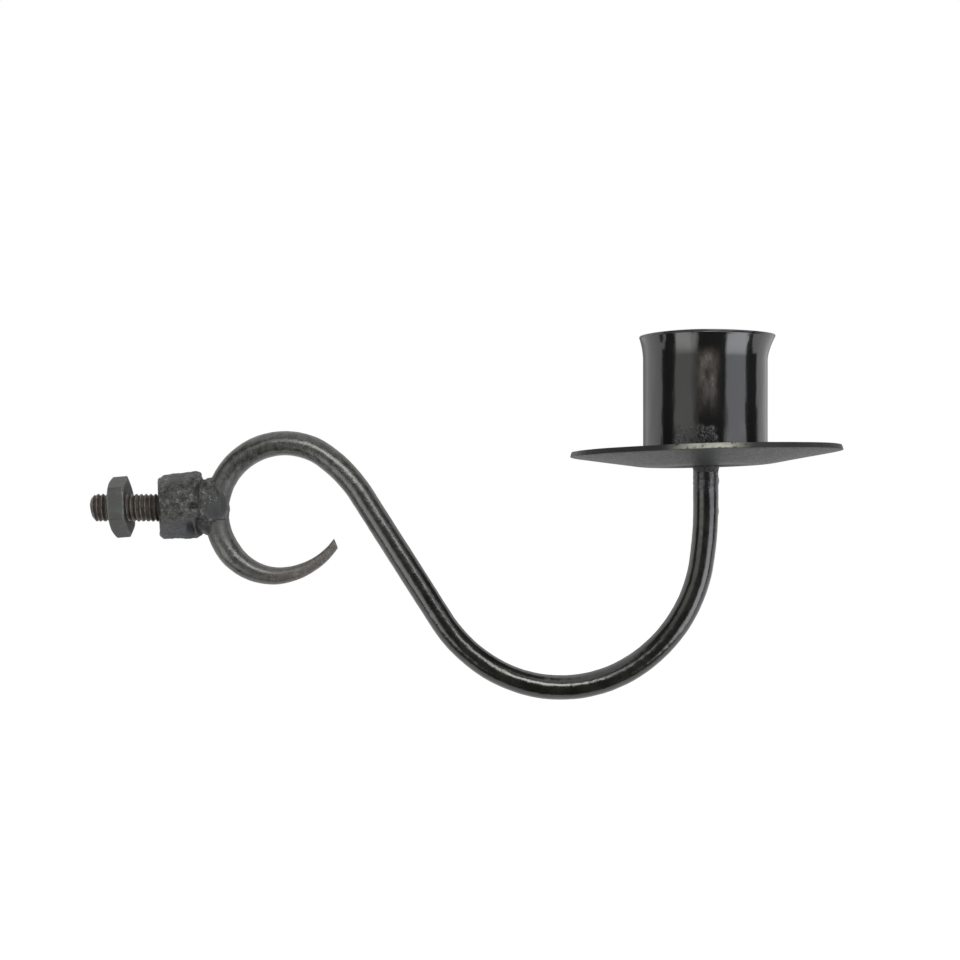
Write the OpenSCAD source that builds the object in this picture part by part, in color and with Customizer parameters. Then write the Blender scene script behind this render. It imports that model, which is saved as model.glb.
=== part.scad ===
// Torch sconce: a candle cup on a drip pan, carried by a bent round bar that ends in a scroll.
// The threaded stud goes through the wall plate, and the hexagon nut clamps it there.
// +X points away from the wall, +Z up. The origin is on the stud's axis, at the boss's wall face.

/* [Wall stud] */
// Diameter of the stud over its thread
stud_d = 7.9; // [6:0.1:9]
// How far the stud stands out of the boss
stud_out = 19.7; // [18:0.1:30]
// Bevel at the stud's free end
stud_bevel = 1.1; // [0.4:0.1:1.6]

/* [Clamp nut] */
// Width across the nut's flats
nut_flats = 15.9; // [14:0.1:18]
// Thickness of the nut
nut_t = 5.0; // [4:0.1:7]
// Distance from the wall face to the middle of the nut
nut_at = 11.4; // [9:0.1:14]
// Diameter of the ring that the bevels leave on each face of the nut
nut_face_d = 15.2; // [13:0.1:15.8]
// Steepness of the nut's bevels, in degrees
nut_bevel_angle = 20; // [15:1:35]
// How far the nut's flats are turned about the stud, in degrees
nut_turn = 8.6; // [0:0.1:30]
// How far the nut's faces are out of square with its thread, in degrees
nut_lean = 4.4; // [0:0.1:6]
// Gap between the stud and the nut's bore, on the radius
thread_gap = 0.05; // [0.01:0.01:0.1]

/* [Boss] */
// Width across the boss's flats
boss_flats = 16.8; // [15:0.1:19]
// Length of the boss, from the wall face to the scroll ring
boss_l = 13.3; // [12:0.1:16]
// Bevel round the boss's wall face
boss_bevel = 1.1; // [0.5:0.1:2]
// Radius of the boss's welded end
boss_round = 2.3; // [1:0.1:3]
// How far the boss's flats are turned about the stud, in degrees
boss_turn = 9.5; // [0:0.1:30]
// How far the boss rises towards the ring, in degrees
boss_lean = 5.5; // [0:0.1:7]

/* [Scroll arm] */
// Diameter of the round bar
bar_d = 7.2; // [6:0.1:8]
// Distance from the wall face to the bar's straight top
bar_x = 161.3; // [161.3:0.1:161.5]
// Height at which the straight top begins to bend
bar_bend_z = 0.5; // [0:0.1:1]
// Length of the drawn tail's first curl, in degrees
tail_curl_a = 64.5; // [50:0.5:70]
// Radius of the drawn tail's first curl
tail_curl_r = 17; // [15:0.5:20]
// Length of the drawn tail's last curl, in degrees
tail_end_a = 41.5; // [30:0.5:45]
// Radius of the drawn tail's last curl
tail_end_r = 23; // [20:0.5:30]
// Width of the bar at the snipped tip, in the plane of the scroll
tip_w = 2.2; // [1.5:0.1:4]
// Thickness of the bar at the snipped tip, from front to back
tip_t = 3.6; // [2:0.1:5]
// Slant of the snip at the tip, as a share of its width
tip_snip = 0.9; // [0:0.1:1.2]

/* [Welds] */
// Diameter of the two beads between boss and ring
bead_d = 5.2; // [4:0.1:6]
// Distance from the wall face to the beads' middle line
bead_x = 14.6; // [14:0.1:16]
// Radius of the turn that each bead makes round the bar
bead_turn_r = 4.6; // [4:0.1:5]
// Height of the bead's turn above the line where the beads meet
bead_rise = 1.7; // [1:0.1:3]
// Height of the line where the two beads meet
bead_meet_z = -0.3; // [-1:0.1:1]
// Width of the fillet between bar and pan
fillet_w = 0.8; // [0.5:0.1:2]
// Height of the fillet between bar and pan
fillet_h = 1.8; // [1:0.1:4]
// Radius of the tack weld at the cup's foot
tack_r = 1.6; // [1:0.1:2.5]
// Where the tack weld begins round the cup, in degrees from +X
tack_from = 236; // [200:1:260]
// How far the tack weld goes round the cup, in degrees
tack_span = 54; // [20:1:80]

/* [Drip pan] */
// Radius of the pan
pan_r = 40.0; // [38:0.1:45]
// Radius of the pan's flat floor
pan_floor_r = 18; // [18:0.1:20]
// How far the rim stands above the floor
pan_rise = 3.5; // [2:0.1:8]
// Thickness of the pan's sheet
pan_sheet = 1.6; // [0.8:0.1:1.8]
// Height of the floor's underside
pan_z = 12.4; // [12:0.1:14]
// How far the pan's outer side is raised, in degrees
pan_lean = 1.4; // [0:0.1:2]
// How far the pan's front is raised, in degrees
pan_pitch = 1.5; // [0:0.1:2]

/* [Candle cup] */
// Outside diameter of the cup's tube
cup_d = 36.4; // [34:0.1:37]
// Thickness of the cup's wall
cup_wall = 1.3; // [1:0.1:1.8]
// Height of the cup's lip
cup_lip_z = 51.2; // [45:0.1:60]
// Height of the cup's inside floor
cup_floor_z = 15.1; // [15.1:0.1:17]
// Height of the flared mouth
flare_h = 7.7; // [5:0.1:10]
// How far the mouth flares out of the tube
flare_out = 1.9; // [1:0.1:3]

/* [Hidden] */

bar_black = [0.17, 0.17, 0.16];
weld_grey = [0.27, 0.27, 0.26];
nut_grey = [0.36, 0.37, 0.36];
thread_brown = [0.30, 0.24, 0.20];
pan_grey = [0.30, 0.31, 0.30];
cup_black = [0.10, 0.10, 0.10];

round_fn = 96;
small_fn = 48;
spare = 1; // how far a cutting shape runs past what it cuts
seat_gap = 0.05; // keeps what is trimmed to the pan just clear of it

stud_r = stud_d / 2;
bar_r = bar_d / 2;
bead_r = bead_d / 2;
cup_r = cup_d / 2;
cup_bore_r = cup_r - cup_wall;
flare_z = cup_lip_z - flare_h;
flare_r = (flare_h * flare_h + flare_out * flare_out) / (2 * flare_out);
nut_corner_r = nut_flats / 2 / cos(30);
boss_corner_r = boss_flats / 2 / cos(30);
stud_in = boss_l - 2 * spare; // the stud's inner end lies inside the boss, short of the welds

// The bar's run from the pan to the tip, each step [radius, turn, share of the drawing out that is
// done at its end]. Turns to the left are positive, and a straight is [length, 0, share].
tail_curl_l = tail_curl_r * tail_curl_a * PI / 180;
tail_end_l = tail_end_r * tail_end_a * PI / 180;
bar_steps = [
    [pan_z - bar_bend_z, 0, 0],
    [110, -8.5, 0],
    [44.5, -48, 0],
    [40, -64, 0],
    [45, -27, 0],
    [43.5, 0, 0],
    [42, 21.5, 0],
    [20.2, 163, 0],
    [tail_curl_r, tail_curl_a, tail_curl_l / (tail_curl_l + tail_end_l)],
    [tail_end_r, tail_end_a, 1]
];
bar_sides = 24;
ring_gap = 4; // longest stretch of bar between two rings
ring_turn = 6; // largest turn between two rings, in degrees

// A station of the bar is [x, z, heading, share drawn out]
function arc_run(radius, from, turn) =
    sign(turn) * radius * [sin(from + turn) - sin(from), cos(from) - cos(from + turn)];
function step_run(step, from, part) = step[1] == 0
    ? part * step[0] * [cos(from), sin(from)]
    : arc_run(step[0], from, part * step[1]);
function step_rings(step) = step[1] == 0
    ? 1
    : ceil(max(abs(step[1]) / ring_turn, step[0] * abs(step[1]) * PI / 180 / ring_gap));
function station(step, last, part) =
    let (run = step_run(step, last[2], part))
    [last[0] + run[0], last[1] + run[1], last[2] + part * step[1], between(last[3], step[2], part)];
function stations(i, last) = i == len(bar_steps)
    ? []
    : let (n = step_rings(bar_steps[i]))
        concat([for (k = [1 : n]) station(bar_steps[i], last, k / n)],
            stations(i + 1, station(bar_steps[i], last, 1)));

// A ring of the bar goes from round to a flattened oblong with soft corners as it is drawn out
function bulge(x, n) = sign(x) * pow(abs(x), 2 / n);
function between(a, b, part) = a + (b - a) * part;
function bar_ring(at, lift_x, lift_y, snip) =
    let (
        w = between(bar_d, tip_w, at[3]) / 2,
        t = between(bar_d, tip_t, at[3]) / 2,
        soft = between(2, 3.2, at[3])
    )
    [for (i = [0 : bar_sides - 1])
        let (
            side = w * bulge(cos(360 * i / bar_sides), soft),
            back = -t * bulge(sin(360 * i / bar_sides), soft),
            ahead = snip * side - lift_x * side - lift_y * back
        )
        [at[0] - side * sin(at[2]) + ahead * cos(at[2]), back, at[1] + side * cos(at[2]) + ahead * sin(at[2])]];

// Hexagon bar along +X, with its top corner turned to the back
module hexagon_bar(corner_r, length, turn) {
    rotate([-turn, 0, 0])
        rotate([0, 90, 0])
            cylinder(r = corner_r, h = length, $fn = 6);
}

// Carries the pan's own frame, with its origin under the floor's middle, to where the pan sits
module on_pan() {
    translate([bar_x, 0, pan_z])
        rotate([-pan_pitch, -pan_lean, 0])
            children();
}

module scroll_arm() {
    top = [bar_x, pan_z, -90, 0];
    run = stations(0, top);
    // the top is filed to the underside of the leaning pan, and the tip is snipped at a slant
    rings = [
        bar_ring(top, tan(pan_lean), -tan(pan_pitch) / cos(pan_lean), 0),
        for (i = [0 : len(run) - 1]) bar_ring(run[i], 0, 0, i == len(run) - 1 ? tip_snip : 0)
    ];
    last = len(run) * bar_sides;
    sides = [for (k = [0 : len(run) - 1], i = [0 : bar_sides - 1])
        let (
            a = k * bar_sides + i,
            b = k * bar_sides + (i + 1) % bar_sides
        )
        each [[a, a + bar_sides, b + bar_sides], [a, b + bar_sides, b]]];
    ends = [[for (i = [0 : bar_sides - 1]) i], [for (i = [bar_sides - 1 : -1 : 0]) last + i]];
    color(bar_black)
        polyhedron(points = [for (ring = rings) each ring], faces = concat(ends, sides));
}

module mounting_boss() {
    color(weld_grey)
        difference() {
            intersection() {
                rotate([0, -boss_lean, 0])
                    translate([-2 * spare, 0, 0])
                        hexagon_bar(boss_corner_r, boss_l + 2 * spare, boss_turn);
                // bevel round the wall face, square with the stud
                rotate([0, 90, 0])
                    rotate_extrude($fn = round_fn)
                        polygon([[0, 0], [boss_corner_r - boss_bevel, 0],
                            [boss_corner_r + 2 * spare, boss_bevel + 2 * spare],
                            [boss_corner_r + 2 * spare, 2 * boss_l], [0, 2 * boss_l]]);
                // rounded end that the weld has melted into
                rotate([0, -boss_lean, 0])
                    rotate([0, 90, 0])
                        rotate_extrude($fn = round_fn)
                            welded_end_profile();
            }
            translate([-spare, 0, 0])
                rotate([0, 90, 0])
                    cylinder(r = stud_r, h = stud_in + spare, $fn = round_fn);
        }
}

module welded_end_profile() {
    reach = boss_corner_r + spare / 4;
    translate([0, -2 * spare])
        square([reach, boss_l + 2 * spare - boss_round]);
    translate([0, -2 * spare])
        square([reach - boss_round, boss_l + 2 * spare]);
    translate([reach - boss_round, boss_l - boss_round])
        circle(r = boss_round, $fn = small_fn);
}

module threaded_stud() {
    color(thread_brown)
        rotate([0, 90, 0]) {
            translate([0, 0, -stud_out])
                cylinder(r1 = stud_r - stud_bevel, r2 = stud_r, h = stud_bevel, $fn = round_fn);
            translate([0, 0, stud_bevel - stud_out])
                cylinder(r = stud_r, h = stud_out - stud_bevel + stud_in, $fn = round_fn);
        }
}

module clamp_nut() {
    bevel_h = (nut_corner_r + spare - nut_face_d / 2) * tan(nut_bevel_angle);
    color(nut_grey)
        translate([-nut_at, 0, 0])
            difference() {
                rotate([0, -nut_lean, 0])
                    intersection() {
                        translate([-nut_t / 2, 0, 0])
                            hexagon_bar(nut_corner_r, nut_t, nut_turn);
                        rotate([0, 90, 0])
                            rotate_extrude($fn = round_fn)
                                polygon([[0, -nut_t / 2], [nut_face_d / 2, -nut_t / 2],
                                    [nut_corner_r + spare, bevel_h - nut_t / 2],
                                    [nut_corner_r + spare, nut_t / 2 - bevel_h],
                                    [nut_face_d / 2, nut_t / 2], [0, nut_t / 2]]);
                    }
                translate([-nut_t, 0, 0])
                    rotate([0, 90, 0])
                        cylinder(r = stud_r + thread_gap, h = 2 * nut_t, $fn = round_fn);
            }
}

// One bead laid over the bar from side to side, drawn above the line where the beads meet
module bead() {
    translate([bead_x, 0, bead_meet_z]) {
        for (side = [-1, 1])
            translate([0, side * bead_turn_r, 0])
                cylinder(r = bead_r, h = bead_rise, $fn = small_fn);
        translate([0, 0, bead_rise])
            rotate([90, 0, 90])
                rotate_extrude(angle = 180, $fn = round_fn)
                    translate([bead_turn_r, 0])
                        circle(r = bead_r, $fn = small_fn);
    }
}

module upper_weld() {
    color(weld_grey)
        bead();
}

module lower_weld() {
    color(weld_grey)
        translate([0, 0, 2 * bead_meet_z])
            mirror([0, 0, 1])
                bead();
}

module drip_pan() {
    edge_r = pan_sheet / 2;
    color(pan_grey)
        on_pan()
            rotate_extrude($fn = 2 * round_fn) {
                polygon([[0, 0], [pan_floor_r, 0], [pan_r - edge_r, pan_rise],
                    [pan_r - edge_r, pan_rise + pan_sheet], [pan_floor_r, pan_sheet], [0, pan_sheet]]);
                translate([pan_r - edge_r, pan_rise + edge_r])
                    circle(r = edge_r, $fn = small_fn);
            }
}

// Everything from well below the pan up to its top surface, for trimming what stands on it
module up_to_pan_top() {
    translate([0, 0, seat_gap])
        rotate_extrude($fn = 2 * round_fn)
            polygon([[0, -pan_z - spare], [pan_r, -pan_z - spare], [pan_r, pan_rise + pan_sheet],
                [pan_floor_r, pan_sheet], [0, pan_sheet]]);
}

// The wall's section, from below the pan's floor to the lip
module cup_profile() {
    square([cup_r, cup_floor_z]);
    translate([cup_bore_r, 0])
        square([cup_wall, flare_z]);
    intersection() {
        translate([cup_r + flare_r, flare_z])
            difference() {
                circle(r = flare_r + cup_wall, $fn = 4 * round_fn);
                circle(r = flare_r, $fn = 4 * round_fn);
            }
        translate([0, flare_z])
            square([cup_r + flare_r, flare_h]);
    }
}

module candle_cup() {
    color(cup_black)
        difference() {
            translate([bar_x, 0, 0])
                rotate_extrude($fn = 2 * round_fn)
                    cup_profile();
            // the foot is filed to the leaning pan
            on_pan()
                up_to_pan_top();
        }
}

module pan_weld() {
    color(weld_grey)
        difference() {
            translate([bar_x, 0, pan_z - fillet_h])
                rotate_extrude($fn = round_fn)
                    polygon([[bar_r, 0], [bar_r + fillet_w, fillet_h], [bar_r + fillet_w, fillet_h + spare],
                        [bar_r, fillet_h + spare]]);
            on_pan()
                cylinder(r = pan_r, h = bar_d, $fn = round_fn);
        }
}

// A quarter round of weld in the corner between the cup's foot and the pan
module cup_weld() {
    color(weld_grey)
        difference() {
            translate([bar_x, 0, pan_z])
                rotate([0, 0, tack_from])
                    rotate_extrude(angle = tack_span, $fn = round_fn)
                        tack_profile();
            on_pan()
                up_to_pan_top();
        }
}

module tack_profile() {
    intersection() {
        translate([cup_r, pan_sheet])
            circle(r = tack_r, $fn = small_fn);
        translate([cup_r, 0])
            square([tack_r, pan_sheet + tack_r]);
    }
}

scroll_arm();
mounting_boss();
threaded_stud();
clamp_nut();
upper_weld();
lower_weld();
drip_pan();
candle_cup();
pan_weld();
cup_weld();
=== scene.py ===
"""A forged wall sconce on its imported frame: bent bar, boss and stud, welds, drip pan and candle cup."""

import math
from types import SimpleNamespace

import bmesh
import bpy
import numpy as np
from bpy.props import FloatProperty, FloatVectorProperty, PointerProperty
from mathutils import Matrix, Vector, noise


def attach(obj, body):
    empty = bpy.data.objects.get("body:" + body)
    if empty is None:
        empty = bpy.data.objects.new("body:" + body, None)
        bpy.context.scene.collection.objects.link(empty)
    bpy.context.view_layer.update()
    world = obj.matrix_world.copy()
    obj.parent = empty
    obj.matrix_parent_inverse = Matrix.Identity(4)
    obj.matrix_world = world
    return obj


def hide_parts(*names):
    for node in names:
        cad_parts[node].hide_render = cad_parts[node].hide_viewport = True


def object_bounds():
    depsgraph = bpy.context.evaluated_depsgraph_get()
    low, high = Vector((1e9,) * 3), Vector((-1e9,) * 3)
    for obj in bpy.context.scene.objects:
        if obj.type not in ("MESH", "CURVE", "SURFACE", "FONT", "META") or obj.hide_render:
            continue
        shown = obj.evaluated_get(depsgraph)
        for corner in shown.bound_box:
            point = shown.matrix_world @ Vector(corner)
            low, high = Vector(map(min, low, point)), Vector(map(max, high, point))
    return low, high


bl_info = {
    "name": "Forged Wall Sconce",
    "version": (1, 0, 0),
    "blender": (4, 5, 0),
    "location": "3D View > Sidebar > Sconce",
    "description": "Dresses the sconce's frame with forged, welded and painted pieces",
    "category": "Add Mesh",
}

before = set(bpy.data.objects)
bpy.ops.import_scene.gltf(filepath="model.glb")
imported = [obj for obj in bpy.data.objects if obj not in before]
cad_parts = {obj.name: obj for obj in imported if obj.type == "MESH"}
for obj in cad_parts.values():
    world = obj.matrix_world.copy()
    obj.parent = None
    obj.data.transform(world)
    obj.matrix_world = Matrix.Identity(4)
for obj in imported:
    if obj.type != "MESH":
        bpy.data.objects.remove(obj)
CAD_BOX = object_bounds()

MM = 0.001


# ---------------------------------------------------------------- shared mesh helpers, in millimetres

def unit(vectors):
    """The vectors scaled to length one."""
    return vectors / np.maximum(np.linalg.norm(vectors, axis=-1, keepdims=True), 1e-12)


def held(value):
    """The value held between 0 and 1."""
    return np.clip(value, 0, 1)


def xyz(x, y, z):
    """Points with these coordinates, each a number or an array that is spread over the others."""
    return np.stack(np.broadcast_arrays(x, y, z), axis=-1)


def axes(points):
    """The points' x, y and z."""
    return np.moveaxis(points, -1, 0)


def hump(*offsets):
    """1 where all the offsets are 0, falling off smoothly away from there."""
    return np.exp(-sum(offset ** 2 for offset in offsets))


def lumps(points, size, seed):
    """Smooth noise from -1 to 1 at the points, with lumps of about that size."""
    flat = points.reshape(-1, 3) / size
    shift = Vector((seed * 7.31, seed * 3.17, seed * 5.77))
    values = [noise.noise(Vector(p) + shift) for p in flat]
    return np.array(values).reshape(points.shape[:-1])


def pits(points, size, seed):
    """1 in the middle of scattered round pits of about that size, and 0 away from them."""
    flat = points.reshape(-1, 3) / size
    shift = Vector((seed * 2.93, seed * 8.41, seed * 6.13))
    near = [noise.voronoi(Vector(p) + shift)[0][0] for p in flat]
    return held(1 - 2.6 * np.array(near)).reshape(points.shape[:-1])


def dips(points, spots):
    """Depth of round hollows in the side that faces the front. A spot is (x, z, width, height, depth)."""
    x, y, z = axes(points)
    deep = np.zeros(x.shape)
    for at_x, at_z, wide, high, depth in spots:
        deep += depth * hump((x - at_x) / wide, (z - at_z) / high)
    return deep * held(-y / 3)


def ramp(value, low, high):
    """0 below low, 1 above high and a smooth run between them."""
    t = held((value - low) / (high - low))
    return t * t * (3 - 2 * t)


def turns(count):
    """Evenly spaced angles, once round."""
    return np.arange(count) * 2 * math.pi / count


def lathe_axes(count):
    """Cosine and sine of evenly spaced angles."""
    return np.cos(turns(count)), np.sin(turns(count))


def rounded(corners, soft, cuts=4):
    """A polyline through the corners with each inner corner rounded over the distance soft.
    A corner is one point, or an array of points that run side by side."""
    corners = [np.asarray(corner, float) for corner in corners]
    path = [corners[0]]
    for before, corner, after in zip(corners, corners[1:], corners[2:]):
        reach_in = np.linalg.norm(before - corner, axis=-1, keepdims=True)
        reach_out = np.linalg.norm(after - corner, axis=-1, keepdims=True)
        cut_in = np.minimum(soft, 0.45 * reach_in)
        cut_out = np.minimum(soft, 0.45 * reach_out)
        start = corner + unit(before - corner) * cut_in
        end = corner + unit(after - corner) * cut_out
        for k in range(cuts + 1):
            t = k / cuts
            path.append((1 - t) ** 2 * start + 2 * t * (1 - t) * corner + t ** 2 * end)
    path.append(corners[-1])
    return path


def filled(path, longest):
    """The same polyline with more points, so that no stretch is longer than longest."""
    full = [path[0]]
    for a, b in zip(path, path[1:]):
        gap = float(np.max(np.linalg.norm(b - a, axis=-1)))
        cuts = max(1, math.ceil(gap / longest))
        for k in range(1, cuts + 1):
            full.append(a + (b - a) * k / cuts)
    return full


def normals_of(rings, centre):
    """Normals of a skin of rings, which point away from the centre on the whole."""
    around = np.roll(rings, -1, axis=1) - np.roll(rings, 1, axis=1)
    out = unit(np.cross(around, np.gradient(rings, axis=0)))
    return out if np.mean(np.sum(out * (rings - centre), axis=-1)) > 0 else -out


def skin(name, rings, closed_along=False, marks=None):
    """A closed mesh object over rings of points: each ring joined to the next, and the ends capped.
    marks are values stored on its points, for the paints to read."""
    count, sides = rings.shape[:2]
    points = [rings.reshape(-1, 3)]
    joins = count if closed_along else count - 1
    k = np.arange(joins)[:, None] * sides
    nxt = (np.arange(joins)[:, None] + 1) % count * sides
    i = np.arange(sides)[None, :]
    j = (i + 1) % sides
    faces = np.stack([k + i, k + j, nxt + j, nxt + i], axis=-1).reshape(-1, 4).tolist()
    if not closed_along:
        first, last = count * sides, count * sides + 1
        points += [rings[0].mean(axis=0)[None], rings[-1].mean(axis=0)[None]]
        end = (count - 1) * sides
        faces += [[first, (n + 1) % sides, n] for n in range(sides)]
        faces += [[last, end + n, end + (n + 1) % sides] for n in range(sides)]
    mesh = bpy.data.meshes.new(name)
    mesh.from_pydata((np.concatenate(points) * MM).tolist(), [], faces)
    for mark, values in (marks or {}).items():
        full = np.zeros(len(mesh.vertices), np.float32)
        full[:count * sides] = np.broadcast_to(values, (count, sides)).ravel()
        mesh.attributes.new(mark, "FLOAT", "POINT").data.foreach_set("value", full)
    mesh.update()
    face_outwards(mesh)
    piece = bpy.data.objects.new(name, mesh)
    bpy.context.scene.collection.objects.link(piece)
    return piece


def face_outwards(mesh):
    """Turns every face of a closed mesh outwards and shades it smooth."""
    bm = bmesh.new()
    bm.from_mesh(mesh)
    bmesh.ops.recalc_face_normals(bm, faces=bm.faces[:])
    if bm.calc_volume(signed=True) < 0:
        bmesh.ops.reverse_faces(bm, faces=bm.faces[:])
    if any(not edge.is_manifold for edge in bm.edges):
        raise RuntimeError(f"{mesh.name} isn't a closed skin")
    bm.to_mesh(mesh)
    bm.free()
    mesh.shade_smooth()


def seat(piece, body, node, paint):
    """Puts a finished piece on its body in place of its CAD node."""
    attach(piece, body)
    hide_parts(node)
    piece.data.materials.append(paint)


# ---------------------------------------------------------------- shared material helpers

class Nodes:
    """A node tree that is built up one node at a time."""

    def __init__(self, tree):
        self.tree = tree

    def put(self, value, socket):
        """Wires an output to the socket, or sets the socket to a number, colour or vector."""
        if isinstance(value, bpy.types.NodeSocket):
            self.tree.links.new(value, socket)
        elif hasattr(value, "__len__"):
            socket.default_value = (*value, 1)[:len(socket.default_value)]
        else:
            socket.default_value = value

    def node(self, kind, sockets=None, **settings):
        """A new node with these settings, and with these values or wires on its sockets."""
        made = self.tree.nodes.new("ShaderNode" + kind)
        for name, value in settings.items():
            setattr(made, name, value)
        for socket, value in (sockets or {}).items():
            self.put(value, made.inputs[socket])
        return made

    def math(self, kind, *values):
        return self.node("Math", dict(enumerate(values)), operation=kind).outputs[0]

    def times(self, a, b):
        return self.math("MULTIPLY", a, b)

    def plus(self, first, *others):
        """The sum of all of them."""
        for other in others:
            first = self.math("ADD", first, other)
        return first

    def span(self, value, low, high, to_low=0.0, to_high=1.0):
        """The value's run from low to high as a smooth run from to_low to to_high."""
        sockets = {"Value": value, "From Min": low, "From Max": high, "To Min": to_low, "To Max": to_high}
        return self.node("MapRange", sockets, interpolation_type="SMOOTHSTEP").outputs["Result"]

    def blend(self, share, a, b, kind="RGBA"):
        """a where share is 0 and b where it is 1. Both are colours, or numbers if kind is FLOAT."""
        return self.node("Mix", {"Factor": share, "A": a, "B": b}, data_type=kind).outputs["Result"]


class Paint(Nodes):
    """A material under construction: its nodes are added one by one in front of one shader."""

    def __init__(self, name):
        self.material = bpy.data.materials.new(name)
        self.material.use_nodes = True
        super().__init__(self.material.node_tree)
        sockets = {0: self.node("TexCoord").outputs["Object"], "Scale": 1 / MM}
        self.place = self.node("VectorMath", sockets, operation="SCALE").outputs[0]

    def grain(self, size, detail=3.0, rough=0.6, stretch=(1, 1, 1), bend=0.0):
        """Noise from 0 to 1 with features of about that size in millimetres."""
        place = self.place
        if stretch != (1, 1, 1):
            place = self.node("VectorMath", {0: place, 1: stretch}, operation="MULTIPLY").outputs[0]
        sockets = {"Vector": place, "Scale": 1 / size, "Detail": detail, "Roughness": rough,
                   "Distortion": bend}
        return self.node("TexNoise", sockets).outputs["Fac"]

    def cells(self, size):
        """Distance to scattered points, for pits and specks."""
        return self.node("TexVoronoi", {"Vector": self.place, "Scale": 1 / size}).outputs["Distance"]

    def streaks(self, long, wide):
        """Noise drawn out along the bar, by the places stored on its points in millimetres."""
        marks = (("along", long), ("side", wide), ("back", wide))
        places = [self.math("DIVIDE", self.mark(name), size) for name, size in marks]
        place = self.node("CombineXYZ", dict(enumerate(places))).outputs[0]
        return self.node("TexNoise", {"Vector": place, "Scale": 1, "Detail": 3}).outputs["Fac"]

    def mark(self, name):
        """A value stored on the mesh's points."""
        return self.node("Attribute", attribute_name=name).outputs["Fac"]

    def relief(self, height, depth, under=None):
        """A bump of that depth in millimetres, over another one if under is given."""
        sockets = {"Height": height, "Distance": depth * MM}
        if under is not None:
            sockets["Normal"] = under
        return self.node("Bump", sockets).outputs["Normal"]

    def done(self, colour, rough, normal, **sockets):
        """The finished material."""
        sockets.update({"Base Color": colour, "Roughness": rough, "Normal": normal})
        for name, value in sockets.items():
            self.put(value, self.tree.nodes["Principled BSDF"].inputs[name])
        return self.material


# ---------------------------------------------------------------- finishes

def bar_paint(looks):
    """Black paint on forged bar: glossy below the pan, grey and streaked at the ring, brown on the tail."""
    p = Paint("bar_black_paint")
    fine = p.grain(0.55, detail=4, rough=0.65)
    streaks = p.streaks(5, 0.5)
    tail, scorched, dull = p.mark("drawn"), p.mark("scorched"), p.mark("dull")
    burnt, bent = p.mark("burnt"), p.mark("bent")
    black = p.blend(p.span(p.grain(5.0, detail=4), 0.35, 0.7), looks.bar_black, looks.bar_olive)
    grey = p.blend(p.span(p.grain(1.8, detail=5, rough=0.7), 0.38, 0.66), looks.ring_grey, looks.ring_light)
    grey = p.blend(p.span(streaks, 0.45, 0.75, 0, 0.5), grey, looks.ring_light)
    worn = p.blend(p.span(p.grain(1.0, detail=5), 0.42, 0.68), looks.bar_tail, looks.bar_tail_light)
    sooty = p.blend(p.span(fine, 0.56, 0.7), looks.bar_burnt, looks.weld_light)
    colour = p.blend(dull, black, grey)
    colour = p.blend(p.span(tail, 0.1, 0.7), colour, worn)
    colour = p.blend(p.span(scorched, 0.2, 1, 0, 0.75), colour, looks.weld_grey)
    colour = p.blend(burnt, colour, sooty)
    rough = p.plus(p.span(fine, 0.3, 0.75, 0.165, 0.235), p.times(dull, 0.07), p.span(tail, 0, 0.8, 0, 0.2),
                   p.times(scorched, 0.32), p.times(burnt, 0.08))
    rugged = p.plus(0.12, p.math("MAXIMUM", dull, burnt))
    pitted = p.relief(p.times(p.span(p.cells(0.9), 0.0, 0.35), rugged), 0.014)
    drawn = p.relief(streaks, 0.01, pitted)
    wavy = p.relief(p.times(p.grain(2.6, detail=2), bent), 0.08, drawn)
    scaly = p.times(fine, rugged)
    return p.done(colour, rough, p.relief(scaly, 0.03, wavy), IOR=1.7)


def weld_paint(looks):
    """Satin dark grey paint over weld metal and the pitted boss, with smoke-black and painted shade in the
    hollows.
    """
    p = Paint("weld_grey_paint")
    fine = p.grain(0.5, detail=4, rough=0.7)
    mottle = p.grain(1.1, detail=3, bend=0.5)
    soot, under, smooth = p.mark("soot"), p.mark("under"), p.mark("smooth")
    speck = p.span(p.cells(0.8), 0.0, 0.24, 1, 0)
    # the glints marks paint highlights as bright specks where the welds catch the light; the other specks
    # are unpainted metal
    glint = p.span(p.cells(0.8), 0.12, 0.4, 1, 0)
    bare = p.times(speck, p.span(p.grain(2.6), 0.52, 0.6))
    glint = p.times(glint, p.span(p.grain(1.6), 0.5, 0.6))
    bare = p.math("MAXIMUM", bare, p.times(glint, p.mark("glints")))
    colour = p.blend(p.span(p.grain(2.6, detail=4), 0.35, 0.68), looks.weld_grey, looks.weld_light)
    colour = p.blend(p.span(mottle, 0.54, 0.66, 0, 0.85), colour, looks.weld_pale)
    colour = p.blend(p.span(mottle, 0.5, 0.38, 0, 0.9), colour, looks.weld_dark)
    colour = p.blend(p.times(under, 0.75), colour, looks.weld_blue)
    colour = p.blend(smooth, colour, looks.blob_grey)
    colour = p.blend(bare, colour, looks.bright_speck)
    # painted shade: the marked hollows, crevices and undersides take the darkest weld colour, with
    # smoke-black
    colour = p.blend(soot, colour, looks.weld_dark)
    rough = p.plus(p.span(fine, 0.3, 0.75, 0.36, 0.58), p.times(smooth, 0.12))
    rugged = p.math("SUBTRACT", 1.0, p.times(smooth, 0.8))
    big = p.relief(p.times(p.grain(1.3, detail=4, bend=0.4), rugged), 0.5)
    small = p.relief(p.times(fine, rugged), 0.16, big)
    return p.done(colour, rough, small)


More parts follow.
